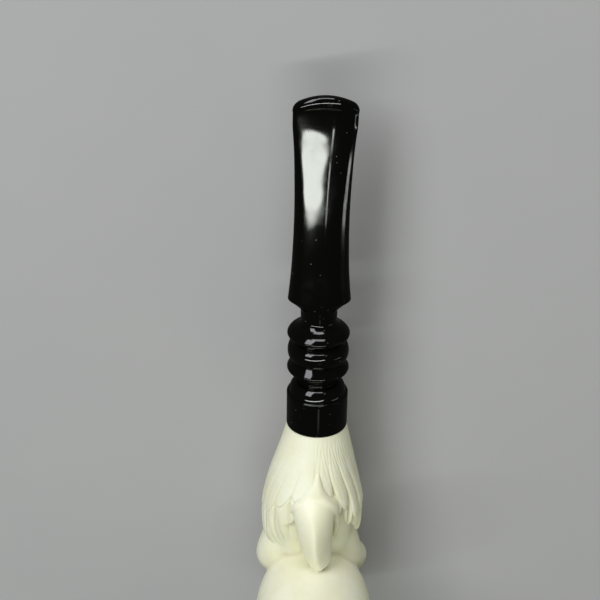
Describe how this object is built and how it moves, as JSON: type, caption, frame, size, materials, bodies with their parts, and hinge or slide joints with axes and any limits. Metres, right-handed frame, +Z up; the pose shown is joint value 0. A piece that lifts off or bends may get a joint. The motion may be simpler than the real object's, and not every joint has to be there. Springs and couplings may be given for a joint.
{
  "type": "tobacco pipe",
  "caption": "Carved meerschaum tobacco pipe: eagle claw with feathered leg gripping an egg-shaped bowl, turned black push-fit stem with ringed neck and fishtail bit.",
  "frame": {"origin": "centre of the bowl's flat rim, at the mouth of the tobacco chamber", "axes": "+Z up along the chamber axis, +Y along the straight shank towards the mouthpiece, X across the pipe"},
  "size_m": [0.032, 0.1621, 0.0532],
  "materials": {
    "meerschaum": "waxed, polished block meerschaum",
    "nylon": "moulded white nylon",
    "acrylic": "polished black acrylic"
  },
  "bodies": {
    "bowl": {"bowl": "meerschaum", "mortise_sleeve": "nylon"},
    "tenon": {"push_tenon": "nylon"},
    "stem": {"stem": "acrylic"}
  },
  "joints": [
    {"name": "stem_pull", "type": "slide", "parent": "bowl", "child": "tenon", "axis": [0, 1, 0], "range_m": [0, 0.025]},
    {"name": "stem_turn", "type": "hinge", "parent": "tenon", "child": "stem", "pos_m": [0, 0.0545, -0.036], "axis": [0, 1, 0], "continuous": true}
  ]
}
